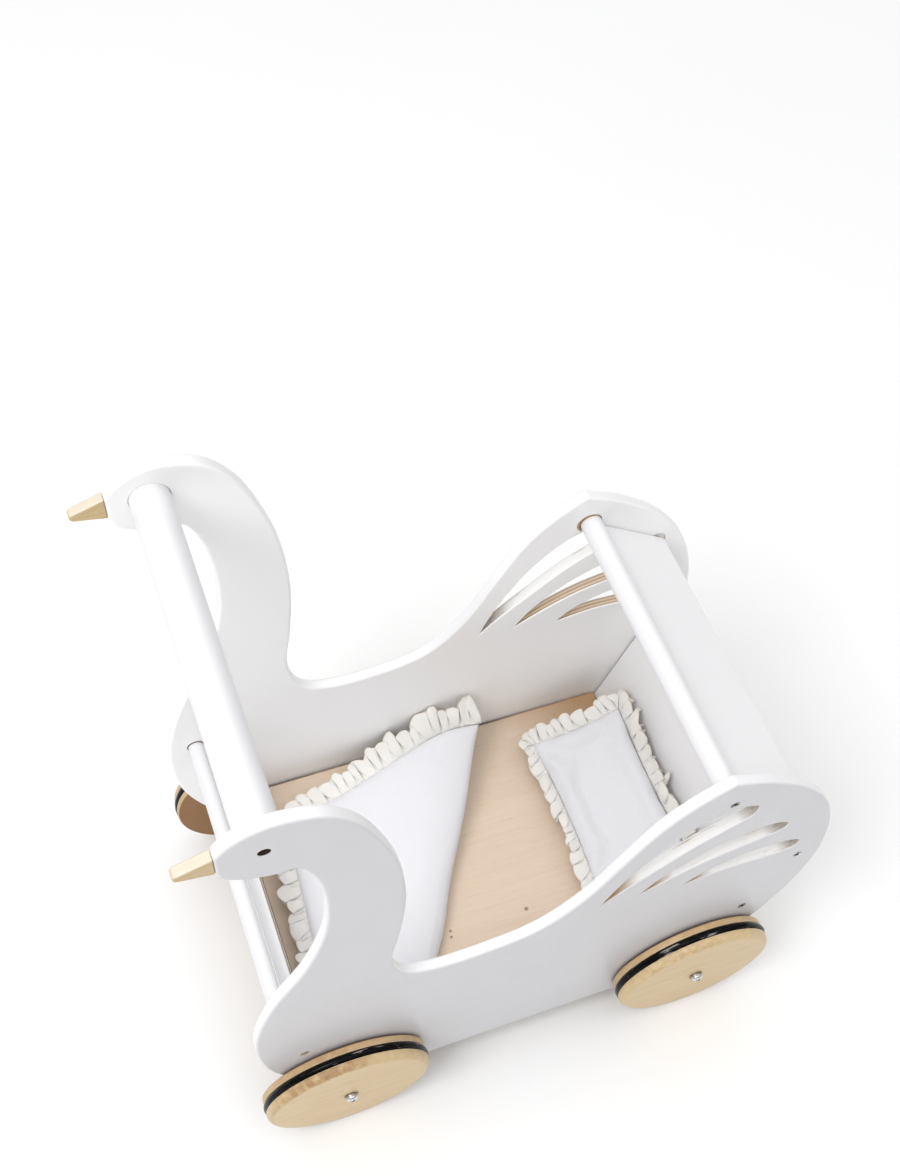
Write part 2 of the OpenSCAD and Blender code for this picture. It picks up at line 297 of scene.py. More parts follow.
def birch(name, pale, deep, along, sides=None):
    """Clear-finished birch. along stretches its grain; sides is painted shade, a deeper colour for the
    faces that don't look up.
    """
    look = Look(name, Coat_Weight=0.15, Coat_Roughness=0.3)
    figure = look.noise(1, 4, look.stretched(tuple(s * 0.06 for s in along)))
    grain = look.noise(1, 6, look.stretched(along), 0.62)
    pores = look.noise(1, 3, look.stretched(tuple(s * 4 for s in along)))
    grainy = look.band(grain, 0.3, 0.75, 0, 0.55)
    mix = look.math("ADD", grainy, look.band(figure, 0.3, 0.7, 0, 0.5), clamp=True)
    look.give("Base Color", look.blend(mix, pale, deep))
    look.cover(look.band(pores, 0.62, 0.72, 0, 0.28), darker(deep, 0.62))
    # painted shade: faces that don't look up are coloured deeper
    if sides:
        facing = look.split(look.node("ShaderNodeNewGeometry").outputs["Normal"])[2]
        side_shade = look.blend(look.band(grain, 0.35, 0.7), sides, darker(sides, 0.85))
        look.cover(look.band(facing, 0.72, 0.35, 0, 0.9), side_shade)
    look.give("Roughness", look.band(grain, 0.3, 0.7, 0.38, 0.52))
    look.bump(pores, 0.05 * MM)
    look.bump(grain, 0.04 * MM)
    return look


def floor_birch():
    """The floor's birch, with its knots, and painted shade: dark lines along the panels and a deeper brown
    towards one corner.
    """
    look = birch("floor_birch", (0.775, 0.64, 0.505), (0.695, 0.545, 0.41), (14, 330, 330))
    x, y, _ = look.split()
    for knot_x, knot_y, size in KNOTS:
        away = look.distance((knot_x * MM, knot_y * MM, FLOOR_Z))
        look.cover(look.band(away, size * 0.5 * MM, size * 1.4 * MM, 0.85, 0), (0.16, 0.09, 0.05))
    # painted shade: thin dark lines along the panels, where the floor meets them
    edge = look.band(look.math("ABSOLUTE", y), PANEL_IN - 2.8 * MM, PANEL_IN - 2 * MM)
    uneven = look.band(look.noise(30, 3), 0.3, 0.5, 0.6, 1)
    look.cover(look.times(edge, uneven), (0.20, 0.12, 0.07))
    # painted shade: a deeper brown towards the corner at the far side and the tail end
    corner = look.math("ADD", x, look.times(y, 0.9))
    look.cover(look.band(corner, 165 * MM, 245 * MM, 0, 0.9), (0.46, 0.26, 0.115))
    return look.material


def wheel_wood(end, side):
    """Solid birch: mottled end grain round the rim, darker towards the head as painted shade, painted
    highlights on the arrises, and painted shade darkening its back.
    """
    look = birch(f"wheel_birch_{end}_{side}", (0.735, 0.57, 0.335), (0.645, 0.475, 0.25), (26, 240, 300))
    x, y, _ = look.split()
    radius = look.distance((AXLE_X[end], 0, AXLE_Z), look.seen_from_side())
    depth = look.math("SUBTRACT", look.math("ABSOLUTE", y), WHEEL_Y)
    on_rim = look.band(radius, WHEEL_R - 5 * MM, WHEEL_R - 2.6 * MM)

    # painted shade: the rim's mottling is made darkest on its side towards the head
    aside = look.math("ABSOLUTE", look.math("SUBTRACT", x, AXLE_X[end] - 22 * MM))
    shade_patch = look.band(aside, 22 * MM, 46 * MM, 1, 0.25)
    shade_patch = look.times(shade_patch, look.band(look.noise(14, 2), 0.3, 0.5, 0.6, 1))
    weak, strong = (0.45, 1) if end == "head" else (0.05, 0.45)
    mottle = look.band(look.noise(170, 4), 0.36, 0.60, weak, strong)
    look.cover(look.times(look.times(shade_patch, mottle), on_rim), (0.36, 0.205, 0.085))

    behind_tyre = look.times(look.band(depth, 5.4 * MM, 5 * MM), on_rim)
    streak = look.noise(1, 3, look.stretched((60, 900, 60)))
    streaks = look.times(behind_tyre, look.band(streak, 0.35, 0.65, 0.25, 0.8))
    look.cover(streaks, (0.50, 0.33, 0.17))

    # painted highlight: pale arrises at the lips of the groove
    from_groove = look.math("ABSOLUTE", look.math("SUBTRACT", depth, GROOVE_Y))
    arris_highlight = look.band(radius, WHEEL_R - 0.8 * MM, WHEEL_R - 0.4 * MM, 0, 0.7)
    look.cover(look.times(look.band(from_groove, 3.5 * MM, 3 * MM), arris_highlight), (0.88, 0.78, 0.60))

    # painted shade: the back of the wheel, which faces the panel, is coloured a near-black brown
    look.cover(look.band(depth, 0.9 * MM, 0.3 * MM, 0, 0.95), (0.27, 0.11, 0.012))
    look.bump(look.times(mottle, on_rim), 0.08 * MM)
    return look.material


def rubber():
    """Black rubber cord with a broken shine and a few pale painted highlight streaks."""
    look = Look("tyre_rubber", IOR=1.2)
    dusty = look.band(look.noise(130, 5), 0.55, 0.85)
    look.give("Base Color", look.blend(dusty, (0.002, 0.002, 0.002), (0.012, 0.010, 0.009)))
    # painted highlight: short pale streaks on the black rubber
    highlight_streak = look.noise(1, 3, look.stretched((45, 420, 45), (0.2, 0, 0.4)))
    look.cover(look.band(highlight_streak, 0.63, 0.68), (0.30, 0.29, 0.28))
    look.give("Roughness", look.band(look.noise(38, 4), 0.4, 0.6, 0.10, 0.34))
    look.bump(look.noise(900, 3), 0.03 * MM)
    return look.material


def steel(name, color, roughness, glints_and_paint=None):
    """Brushed steel. glints_and_paint is the colour of pale places: painted highlight spots, and paint
    that nearly covers the screws at the head end.
    """
    look = Look(name, Metallic=1.0)
    scratch = look.noise(1, 4, look.stretched((4000, 300, 4000)))
    look.give("Roughness", look.band(scratch, 0.3, 0.7, roughness * 0.75, roughness * 1.35))
    look.give("Base Color", look.blend(scratch, darker(color, 0.86), color))
    if glints_and_paint:
        # painted highlight: small pale spots on the metal, as glints
        wear_and_glints = look.band(look.noise(420, 2), 0.52, 0.58)
        head_end = look.band(look.split()[0], -150 * MM, -152 * MM)
        painted_over = look.times(head_end, look.band(look.noise(900, 1), 0.36, 0.40))
        look.cover(look.math("MAXIMUM", wear_and_glints, painted_over), glints_and_paint)
    look.bump(scratch, 0.02 * MM)
    return look.material


def cotton(name, low, high, thread):
    """Fine plain-woven cotton: crossing threads, slubs and a soft sheen."""
    look = Look(name, Roughness=0.86, Sheen_Weight=0.35, Sheen_Roughness=0.45)
    slub = look.noise(1, 3, look.stretched((90, 1400, 600)))
    look.give("Base Color", look.blend(look.noise(16, 3), low, high))
    look.cover(look.band(slub, 0.55, 0.8, 0, 0.35), thread)
    x, y, z = look.split()
    warp = look.math("SINE", look.times(x, 2 * math.pi / THREAD))
    weft = look.math("SINE", look.times(look.math("ADD", y, z), 2 * math.pi / THREAD))
    look.bump(look.times(warp, weft), 0.07 * MM)
    look.bump(slub, 0.1 * MM)
    look.bump(look.noise(70, 4), 0.5 * MM)
    return look.material


# ---------------------------------------------------------------- shape helpers

def loose_object(name, data):
    """Adds an object to the scene."""
    obj = bpy.data.objects.new(name, data)
    bpy.context.scene.collection.objects.link(obj)
    return obj


def mesh_object(name, mesh, material, body, replaced=()):
    """Adds a piece, gives it its material and body, and hides the CAD nodes that it stands for."""
    obj = loose_object(name, mesh)
    for m in material if isinstance(material, list) else [material]:
        mesh.materials.append(m)
    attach(obj, body)
    if replaced:
        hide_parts(*replaced)
    return obj


def as_mesh(name, bm):
    """Makes a mesh of a bmesh, and frees it."""
    mesh = bpy.data.meshes.new(name)
    bm.to_mesh(mesh)
    bm.free()
    return mesh


def evaluated(obj):
    """The object's mesh with its modifiers applied."""
    return obj.evaluated_get(bpy.context.evaluated_depsgraph_get()).data


def even_shading(obj, angle=32):
    """Smooth shading with crisp edges over the angle, and flat faces kept flat."""
    for face in obj.data.polygons:
        face.use_smooth = True
    obj.data.set_sharp_from_angle(angle=math.radians(angle))
    weigh = obj.modifiers.new("even", "WEIGHTED_NORMAL")
    weigh.keep_sharp = True


def edge_groups(bm):
    """The mesh's sharp edges, in groups that touch, each with its largest extent."""
    sharp = math.radians(35)
    left = {e for e in bm.edges if len(e.link_faces) == 2 and abs(e.calc_face_angle(0)) > sharp}
    groups = []
    while left:
        stack = [left.pop()]
        group = []
        while stack:
            edge = stack.pop()
            group.append(edge)
            for v in edge.verts:
                for other in v.link_edges:
                    if other in left:
                        left.remove(other)
                        stack.append(other)
        corners = [v.co for e in group for v in e.verts]
        extent = max(max(c[i] for c in corners) - min(c[i] for c in corners) for i in range(3))
        groups.append((extent, group))
    return groups


def mark_openings(bm):
    """Gives the walls of a panel's slots and bored holes their own materials."""
    for extent, group in edge_groups(bm):
        if SLOT_LEAST < extent < SLOT_MOST:
            for face in {f for e in group for f in e.link_faces if abs(f.normal.y) < 0.5}:
                face.material_index = SLOT_INDEX
    for node, reach, index, bottom in BORED:
        middle = middle_of(node)
        for face in bm.faces:
            near = all(math.hypot(v.co.x - middle.x, v.co.z - middle.z) < reach for v in face.verts)
            if near and (bottom or abs(face.normal.y) < 0.5):
                face.material_index = index


def edges_to_round(bm, least, most, only_flat, crisp_back):
    """The sharp edges in groups of an extent over least and up to most, without those that stay crisp."""
    edges = [e for extent, group in edge_groups(bm) if least < extent <= most for e in group]
    if only_flat:
        edges = [e for e in edges if abs(e.verts[0].co.y - e.verts[1].co.y) < 0.01 * MM]
    if crisp_back:
        edges = [e for e in edges if all(f.normal.x < 0.9 for f in e.link_faces)]
    return edges


def softened(node, material, rules, panel=False, gap=0.0, crisp_back=False):
    """A copy of a CAD node with rounded edges, which replaces it. gap is taken off its ends in Y.

    rules are (largest extent, radius, segments): a group of touching edges takes the first rule that it
    fits. A panel's openings keep their corners sharp, and all its rounded edges are painted. crisp_back
    keeps the edges of the end towards the tails sharp.
    """
    bm = bmesh.new()
    bm.from_mesh(NODES[node].data)
    bmesh.ops.remove_doubles(bm, verts=bm.verts, dist=0.002 * MM)
    bmesh.ops.dissolve_limit(bm, angle_limit=math.radians(0.2), verts=bm.verts, edges=bm.edges)
    for face in bm.faces:
        face.material_index = 0
    if panel:
        mark_openings(bm)
    least = 0
    for most, radius, segments in rules:
        opening = panel and most <= SLOT_MOST
        edges = edges_to_round(bm, least, most, opening, crisp_back)
        if edges and radius:
            bmesh.ops.bevel(bm, geom=edges, offset=radius, offset_type="OFFSET", segments=segments,
                            profile=0.5, affect="EDGES", clamp_overlap=False, material=0 if panel else -1)
        least = most
    if gap:
        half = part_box(node)[1].y
        bmesh.ops.scale(bm, vec=(1, 1 - gap / half, 1), verts=bm.verts)
    mesh = as_mesh(node + "_piece", bm)
    obj = mesh_object(node + "_piece", mesh, material, NODES[node]["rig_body"], [node])
    even_shading(obj)


def arc(center, radius, start, end, steps):
    """Points (r, y) on an arc, from angle start to angle end in degrees."""
    turn = [math.radians(start + (end - start) * i / steps) for i in range(steps + 1)]
    return [(center[0] + radius * math.cos(a), center[1] + radius * math.sin(a)) for a in turn]


def turned(profile, center, side=1, around=160, closed=True):
    """A mesh turned about an axis along Y through center (x, z). profile is (radius, y) on the left."""
    bm = bmesh.new()
    rings = []
    for i in range(around):
        a = 2 * math.pi * i / around
        ring = [(center[0] + r * math.cos(a), side * y, center[1] + r * math.sin(a)) for r, y in profile]
        rings.append([bm.verts.new(point) for point in ring])
    count = len(profile)
    for i in range(around):
        here, there = rings[i], rings[(i + 1) % around]
        for j in range(count if closed else count - 1):
            k = (j + 1) % count
            bm.faces.new((here[j], here[k], there[k], there[j]))
    if not closed:
        bmesh.ops.remove_doubles(bm, verts=bm.verts, dist=0.0001 * MM)
    bmesh.ops.recalc_face_normals(bm, faces=bm.faces)
    return as_mesh("turned", bm)


# ---------------------------------------------------------------- woodwork

PAINT = white_paint("white_paint", (0.862, 0.858, 0.866), (0.888, 0.886, 0.898))
# painted shade: a greyer copy of the white paint for the rails, so they keep their shading under the
# bright light
SHADED_RAIL_PAINT = white_paint("rail_paint_shaded", (0.775, 0.772, 0.79), (0.805, 0.80, 0.82))
EDGE = ply_edge()
BIRCH_FLOOR = floor_birch()
# painted shade: the beaks' sides take a deeper brown than their tops
BIRCH_BEAK = birch(
    "beak_birch", (0.74, 0.665, 0.55), (0.68, 0.58, 0.44), (30, 420, 420), sides=(0.60, 0.435, 0.20),
).material
BIRCH_BEAM = birch("beam_birch", (0.66, 0.50, 0.33), (0.50, 0.35, 0.20), (260, 12, 260)).material
# painted shade: bare wood coloured near black, for the deep holes at the handle bar's ends
DRILLED_SHADE = birch("drilled_wood_painted_shade", (0.075, 0.045, 0.03), (0.03, 0.018, 0.012), (300, 300, 300)).material
BARE = birch("bare_wood", (0.46, 0.31, 0.18), (0.34, 0.21, 0.11), (200, 200, 200)).material
RUBBER = rubber()
ZINC = steel("zinc", (0.74, 0.74, 0.76), 0.22)
# painted shade: the washers take a darker steel, for the dark ring round the screw heads
WASHER_STEEL_SHADED = steel("washer_steel_painted_shade", (0.36, 0.34, 0.33), 0.30)
# painted shade: near-black steel for the screws' cross recesses
RECESS_SHADE = steel("recess_steel_painted_shade", (0.05, 0.045, 0.04), 0.45)
DARK_STEEL = steel("dark_steel", (0.13, 0.11, 0.10), 0.34, (0.80, 0.79, 0.78))
COTTON = cotton("cotton", (0.79, 0.79, 0.82), (0.83, 0.83, 0.86), (0.74, 0.735, 0.75))
# painted light: a warmer copy of the cotton for the ruffles, standing in for light shining through their
# thin cloth
FRILL_WARM_SHADE = cotton("cotton_frill_warm_shade", (0.84, 0.81, 0.765), (0.90, 0.89, 0.87), (0.78, 0.74, 0.68))
HEM = cotton("cotton_hem", (0.82, 0.75, 0.64), (0.85, 0.80, 0.71), (0.74, 0.64, 0.50))


def panels():
    bored, slots, outline = (30 * MM, 0.4 * MM, 2), (SLOT_MOST, 1.1 * MM, 3), (ALL, 2.6 * MM, 5)
    tenon, blade = (12 * MM, 0.0, 1), (100 * MM, 1.4 * MM, 4)
    materials = [PAINT, EDGE, DRILLED_SHADE, BARE]
    for side in SIDES:
        softened("side_panel_" + side, materials, [bored, slots, outline], panel=True)
        softened("beak_" + side, BIRCH_BEAK, [tenon, blade], crisp_back=True)


def boards():
    bored = (12 * MM, 0.2 * MM, 1)
    sanded = (ALL, 0.6 * MM, 2)
    for node in ("breast_board", "back_board"):
        softened(node, PAINT, [bored, (ALL, 1 * MM, 3)], gap=FIT_GAP)
    softened("tail_board", PAINT, [bored, (ALL, 1.6 * MM, 3)])
    softened("floor_board", BIRCH_FLOOR, [sanded], gap=FIT_GAP)
    softened("breast_cleat", BIRCH_BEAM, [sanded])
    for end in AXLE_X:
        softened("axle_beam_" + end, BIRCH_BEAM, [bored, (ALL, 1.2 * MM, 2)])
    NODES["tail_board_pins"].data.materials[0] = BIRCH_BEAM


def rail_outline(radius, half):
    """A rail's outline as (radius, y): soft ends, and points along it that keep its shading even."""
    soft, steps = 0.6 * MM, 24
    outline = [(0.0, -half), (radius * 0.5, -half)]
    outline += arc((radius - soft, soft - half), soft, -90, 0, 3)
    outline += [(radius, half * (2 * i / steps - 1) * 0.98) for i in range(steps + 1)]
    outline += arc((radius - soft, half - soft), soft, 0, 90, 3)
    return outline + [(radius * 0.5, half), (0.0, half)]


def rails():
    for node in ("handle_bar", "tail_rail", "breast_rail"):
        low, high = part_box(node)
        middle = middle_of(node)
        outline = rail_outline((high.x - low.x) / 2, high.y - 0.5 * MM)
        mesh = turned(outline, (middle.x, middle.z), around=72, closed=False)
        even_shading(mesh_object(node + "_piece", mesh, SHADED_RAIL_PAINT, "frame", [node]))


# ---------------------------------------------------------------- wheels

def wheel_profile():
    """A left wheel's outline as (radius, y): its back, its grooved rim and its well rounded front."""
    r, t = WHEEL_R, WHEEL_T
    bore, bore_round = 3.05 * MM, 0.3 * MM
    back_round, lip_round, front_round = 1.5 * MM, 0.5 * MM, 5.5 * MM
    room = CORD_R + 0.05 * MM
    groove, low, high = CORD_RING - room, GROOVE_Y - room, GROOVE_Y + room
    p = [(bore, 0), (r * 0.5, 0)]
    p += arc((r - back_round, back_round), back_round, -90, 0, 5)
    p += arc((r - lip_round, low - lip_round), lip_round, 0, 90, 3)
    p += [(groove, low), (groove, high)]
    p += arc((r - lip_round, high + lip_round), lip_round, -90, 0, 3)
    p += arc((r - front_round, t - front_round), front_round, 0, 90, 12)
    p += [(r * 0.5, t), (bore + bore_round, t), (bore, t - bore_round)]
    return [(a, WHEEL_Y + b) for a, b in p]


def wheels():
    cord_sides = 16
    last = cord_sides - 1
    cord = arc((CORD_RING, WHEEL_Y + GROOVE_Y), CORD_R, 0, 360 * last / cord_sides, last)
    for end, x in AXLE_X.items():
        for side, sign in SIDES.items():
            body = f"wheel_{end[0]}{side[0]}"
            wood = turned(wheel_profile(), (x, AXLE_Z), sign)
            even_shading(mesh_object(f"wheel_{end}_{side}_piece", wood, wheel_wood(end, side), body,
                                     [f"wheel_{end}_{side}"]))
            tyre = turned(cord, (x, AXLE_Z), sign)
            even_shading(mesh_object(f"tyre_{end}_{side}_piece", tyre, RUBBER, body,
                                     [f"tyre_{end}_{side}"]), 60)


def screw_outline():
    """A left axle screw's outline as (radius, y), from its point to the top of its head."""
    shank, length, point = 3 * MM, 58 * MM, 5 * MM
    tip, rim, crown = HEAD_Y - length, HEAD_Y + HEAD_RIM, HEAD_H - HEAD_RIM
    steps = 10
    turn = [math.radians(90 * i / steps) for i in range(1, steps + 1)]
    p = [(0, tip), (shank * 0.4, tip), (shank, tip + point), (shank, HEAD_Y)]
    p += [(HEAD_R, HEAD_Y), (HEAD_R, rim)]
    return p + [(HEAD_R * math.cos(a), rim + crown * math.sin(a)) for a in turn]


def cross_bars(place):
    """Two crossed bars, to cut the recess of a screw's head."""
    bar = Matrix.Diagonal((5.2 * MM, 4.2 * MM, 1.1 * MM, 1))
    bm = bmesh.new()
    for turn in (20, 110):
        tilt = Matrix.Translation(place) @ Matrix.Rotation(math.radians(turn), 4, "Y")
        bmesh.ops.create_cube(bm, size=1, matrix=tilt @ bar)
    return as_mesh("cross", bm)


def axle_screws():
    """One piece: four pan heads with a cross recess, on their shanks."""
    whole = bmesh.new()
    for x in AXLE_X.values():
        for sign in SIDES.values():
            blank = turned(screw_outline(), (x, AXLE_Z), sign, around=64, closed=False)
            screw = loose_object("screw_blank", blank)
            cutter = loose_object("cross", cross_bars((x, sign * (HEAD_Y + HEAD_H), AXLE_Z)))
            cut = screw.modifiers.new("cross", "BOOLEAN")
            cut.object = cutter
            cut.use_self = True
            whole.from_mesh(evaluated(screw))
            for obj in (screw, cutter):
                bpy.data.objects.remove(obj)
    # the cross recesses take the near-black steel, as painted shade
    for face in whole.faces:
        place = face.calc_center_median()
        from_axis = min(math.hypot(place.x - x, place.z - AXLE_Z) for x in AXLE_X.values())
        if from_axis < 2.8 * MM and HEAD_Y < abs(place.y) < HEAD_Y + HEAD_H - 0.6 * MM:
            face.material_index = 1
    mesh = as_mesh("axle_screws_piece", whole)
    even_shading(mesh_object("axle_screws_piece", mesh, [ZINC, RECESS_SHADE], "frame", ["axle_screws"]))


def small_metal():
    for node in ("rail_screws", "board_screws"):
        NODES[node].data.materials[0] = DARK_STEEL
    for node in ("axle_washers", "head_washers"):
        softened(node, WASHER_STEEL_SHADED, [(ALL, 0.25 * MM, 2)])


# ---------------------------------------------------------------- bedding

def smooth_path(points, step):
    """Even points, step apart, on a Catmull-Rom curve through the given ones."""
    ends = [points[0] * 2 - points[1]] + points + [points[-1] * 2 - points[-2]]
    pieces = 40
    fine = []
    for a, b, c, d in zip(ends, ends[1:], ends[2:], ends[3:]):
        for i in range(pieces):
            t = i / pieces
            fine.append(0.5 * (2 * b + (c - a) * t + (2 * a - 5 * b + 4 * c - d) * t * t
                               + (3 * b - a - 3 * c + d) * t ** 3))
    fine.append(points[-1])
    even = [fine[0]]
    left = step
    for a, b in zip(fine, fine[1:]):
        gap = (b - a).length
        while gap >= left:
            a = a + (b - a) * (left / gap)
            gap -= left
            left = step
            even.append(a.copy())
        left -= gap
    return even


def stay_in_bed(p):
    """The nearest place to p that is clear of the floor, the panels, the cleat and the leaning board."""
    inside = Vector((
        max(p.x, CLEAT_X + CLOTH_GAP),
        max(min(p.y, PANEL_IN - CLOTH_GAP), CLOTH_GAP - PANEL_IN),
        max(p.z, FLOOR_Z + CLOTH_GAP),
    ))
    into_board = Vector((math.cos(BACK_LEAN), 0, -math.sin(BACK_LEAN)))
    over = (inside - Vector((BACK_X, 0, FLOOR_Z))).dot(into_board) + CLOTH_GAP
    return inside - into_board * max(over, 0)


def two_sheets(name, place, across, along):
    """A closed pad of two grids sewn round their edge, and its rim's vertices in order.

    place(u, v, side) gives a point; side is 1 on the upper sheet, -1 on the lower one and 0 on the rim.
    """
    bm = bmesh.new()
    rows = {}
    for side in (1, -1):
        for i in range(across + 1):
            for j in range(along + 1):
                rim = i in (0, across) or j in (0, along)
                if rim and side < 0:
                    rows[side, i, j] = rows[1, i, j]
                else:
                    rows[side, i, j] = bm.verts.new(place(i / across, j / along, 0 if rim else side))
        for i in range(across):
            for j in range(along):
                corners = [rows[side, a, b] for a, b in ((i, j), (i + 1, j), (i + 1, j + 1), (i, j + 1))]
                bm.faces.new(corners if side > 0 else corners[::-1])
    bmesh.ops.recalc_face_normals(bm, faces=bm.faces)
    rim = [(i, 0) for i in range(across)] + [(across, j) for j in range(along)]
    rim += [(i, along) for i in range(across, 0, -1)] + [(0, j) for j in range(along, 0, -1)]
    return as_mesh(name, bm), [i * (along + 1) + j for i, j in rim]


def filled(mesh, rim, hold, pressure, grow, frames):
    """Swells a pad as cloth under pressure, inside the bed.

    hold is how firmly its rim is held, from 0 to 1, and grow is how much bigger the cloth is cut than the
    shape it starts from, which is what wrinkles it.
    """
    most = 9 * MM                 # the furthest that a point may move
    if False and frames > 4:
        frames = 4
    obj = loose_object("swelling", mesh)
    group = obj.vertex_groups.new(name="held")
    group.add(list(range(len(mesh.vertices))), 0.0, "REPLACE")
    group.add(rim, hold, "REPLACE")
    cloth = obj.modifiers.new("cloth", "CLOTH")
    s = cloth.settings
    s.quality = 7
    s.mass = 0.15
    s.tension_stiffness = 12
    s.compression_stiffness = 8
    s.shear_stiffness = 4
    s.bending_stiffness = 0.25
    s.use_pressure = True
    s.uniform_pressure_force = pressure
    s.vertex_group_mass = "held"
    s.shrink_min = -grow
    s.effector_weights.gravity = 0
    cloth.collision_settings.use_collision = False
    cloth.point_cache.frame_start = 1
    cloth.point_cache.frame_end = frames
    for number in range(1, frames + 1):
        bpy.context.scene.frame_set(number)
    swollen = [v.co.copy() for v in evaluated(obj).vertices]
    bpy.data.objects.remove(obj)
    bpy.context.scene.frame_set(1)
    for v, end in zip(mesh.vertices, swollen):
        move = end - v.co
        v.co = stay_in_bed(v.co + move * min(1, most / max(move.length, 1e-9)))


def soft_finish(obj):
    for face in obj.data.polygons:
        face.use_smooth = True
    smooth = obj.modifiers.new("smooth", "SUBSURF")
    smooth.levels = 1
    smooth.render_levels = 1


def along_strip(seam, outs, lifts, width):
    """The length of a strip's outer edge, and at(run): the seam's place there, and its ways out and up.

    The edge gains on the seam where the seam turns, so that the pleats fan out round a corner.
    """
    runs = [0.0]
    for a, b, out_a, out_b in zip(seam, seam[1:], outs, outs[1:]):
        runs.append(runs[-1] + (b - a).length + 0.7 * width * out_a.angle(out_b, 0))

    def at(run):
        run = min(max(run, 0), runs[-1])
        k = min(bisect.bisect_right(runs, run), len(runs) - 1)
        t = (run - runs[k - 1]) / max(runs[k] - runs[k - 1], 1e-9)
        base, out, up = (found[k - 1].lerp(found[k], t) for found in (seam, outs, lifts))
        return base, out.normalized(), up.normalized()

    return runs[-1], at


# One box pleat's section: how far along, as a part of its width, and how high, as a part of its height
PLEAT = [
    (0.0, 0.86), (0.08, 0.97), (0.25, 1.0), (0.5, 1.03), (0.75, 1.0), (0.93, 0.98),
    (1.04, 0.9), (1.05, 0.6), (0.94, 0.34), (0.80, 0.14), (0.79, -0.04), (0.90, -0.1),
    (1.05, -0.1), (1.17, -0.04), (1.18, 0.14), (1.06, 0.36), (0.96, 0.6),
]
# The strip's rows, from the seam to the hem
ROWS = [0, 0.12, 0.25, 0.38, 0.51, 0.64, 0.76, 0.87, 0.95, 1.0]


def pleats(bm, dice, total, at, reach_at):
    """The columns of vertices of box pleats along a strip. reach_at(run) is the strip's width there."""
    fold, deep = 9.5 * MM, 3.9 * MM            # a pleat's usual width and height
    twisted, curled = 2.2 * MM, 1.6 * MM       # how far twist and curl lift it
    tuck = 1.5 * MM                            # how far the strip starts inside the seam
    grid = []
    start = 0.0
    while start < total - 4 * MM:
        wide = fold * dice.uniform(0.6, 1.5)
        tall = deep * dice.uniform(0.5, 1.8)
        reach = dice.uniform(0.80, 1.18)
        twist = dice.uniform(-1.0, 1.0)
        slant = dice.uniform(-0.35, 0.35)
        curl = dice.uniform(-1.0, 2.0)
        skew = dice.uniform(-0.12, 0.12)
        for j, (along, high) in enumerate(PLEAT):
            even = start + wide * j / len(PLEAT)
            across = 2 * along - 1
            bow = 1 - 0.12 * across ** 2 + skew * across
            column = []
            for v in ROWS:
                full = v ** 0.6
                run = even + (start + wide * (along + slant * v) - even) * full
                base, out, up = at(run)
                rise = tall * high * full
                rise += twisted * twist * (along - 0.5) * v
                rise += curled * curl * math.sin(3 * v)
                far = reach_at(run) * v * reach * bow - tuck
                column.append(bm.verts.new(stay_in_bed(base + out * far + up * rise)))
            grid.append(column)
        start += wide
    return grid


def ruffle(name, body, seam, center, up, seed, width, share):
    """A strip gathered in box pleats and sewn to a seam, with a cream hem.

    share(t) is the part of the width that shows at t, from 0 to 1 along the strip.
    """
    outs, lifts = directions(seam, center, up)
    total, at = along_strip(seam, outs, lifts, width)
    taper = 9 * MM

    def reach_at(run):
        from_end = min(run, total - run)
        return width * share(run / total) * min(1, 0.3 + from_end / taper)

    bm = bmesh.new()
    grid = pleats(bm, random.Random(seed), total, at, reach_at)
    for a, b in zip(grid, grid[1:]):
        for r in range(len(ROWS) - 1):
            face = bm.faces.new((a[r], b[r], b[r + 1], a[r + 1]))
            face.material_index = int(r == len(ROWS) - 2)
    area = sum(f.calc_area() for f in bm.faces)
    obj = mesh_object(name, as_mesh(name, bm), [FRILL_WARM_SHADE, HEM], body)
    soft_finish(obj)
    thick = obj.modifiers.new("thick", "SOLIDIFY")
    thick.thickness = 0.45 * MM
    thick.offset = 0


def seam_run(mesh, order, start, end):
    """Even points on a pad's seam, from one of its rim's vertices to another."""
    picked = [order[i % len(order)] for i in range(start, end + 1)]
    return smooth_path([mesh.vertices[i].co.copy() for i in picked], 0.9 * MM)


def directions(seam, center, up):
    """At each seam point, the way out of the pad, away from center, and the way up from the strip."""
    outs, lifts = [], []
    for k, p in enumerate(seam):
        ahead = (seam[min(k + 4, len(seam) - 1)] - seam[max(k - 4, 0)]).normalized()
        out = ahead.cross(up).normalized()
        if out.dot(p - center) < 0:
            out = -out
        out = climb(p, out)
        outs.append(out)
        lifts.append(ahead.cross(out).normalized())
        if lifts[-1].z < 0:
            lifts[-1] = -lifts[-1]
    return outs, lifts


def climb(p, out):
    """Turns the way out up where the ruffle meets a panel or the leaning board."""
    far, near = 24 * MM, 8 * MM   # the room left where it starts to turn, and where it has turned
    board_x = 174 * MM            # the leaning board's inner face at the pillow's height
    to_panel = (PANEL_IN - 2 * MM - abs(p.y)) / max(abs(out.y), 1e-3)
    to_board = (board_x - p.x) / max(out.x, 1e-3)
    turned_up = min(max((far - min(to_panel, to_board)) / (far - near), 0), 1)
    return (out + Vector((0, 0, 1.3)) * turned_up).normalized()


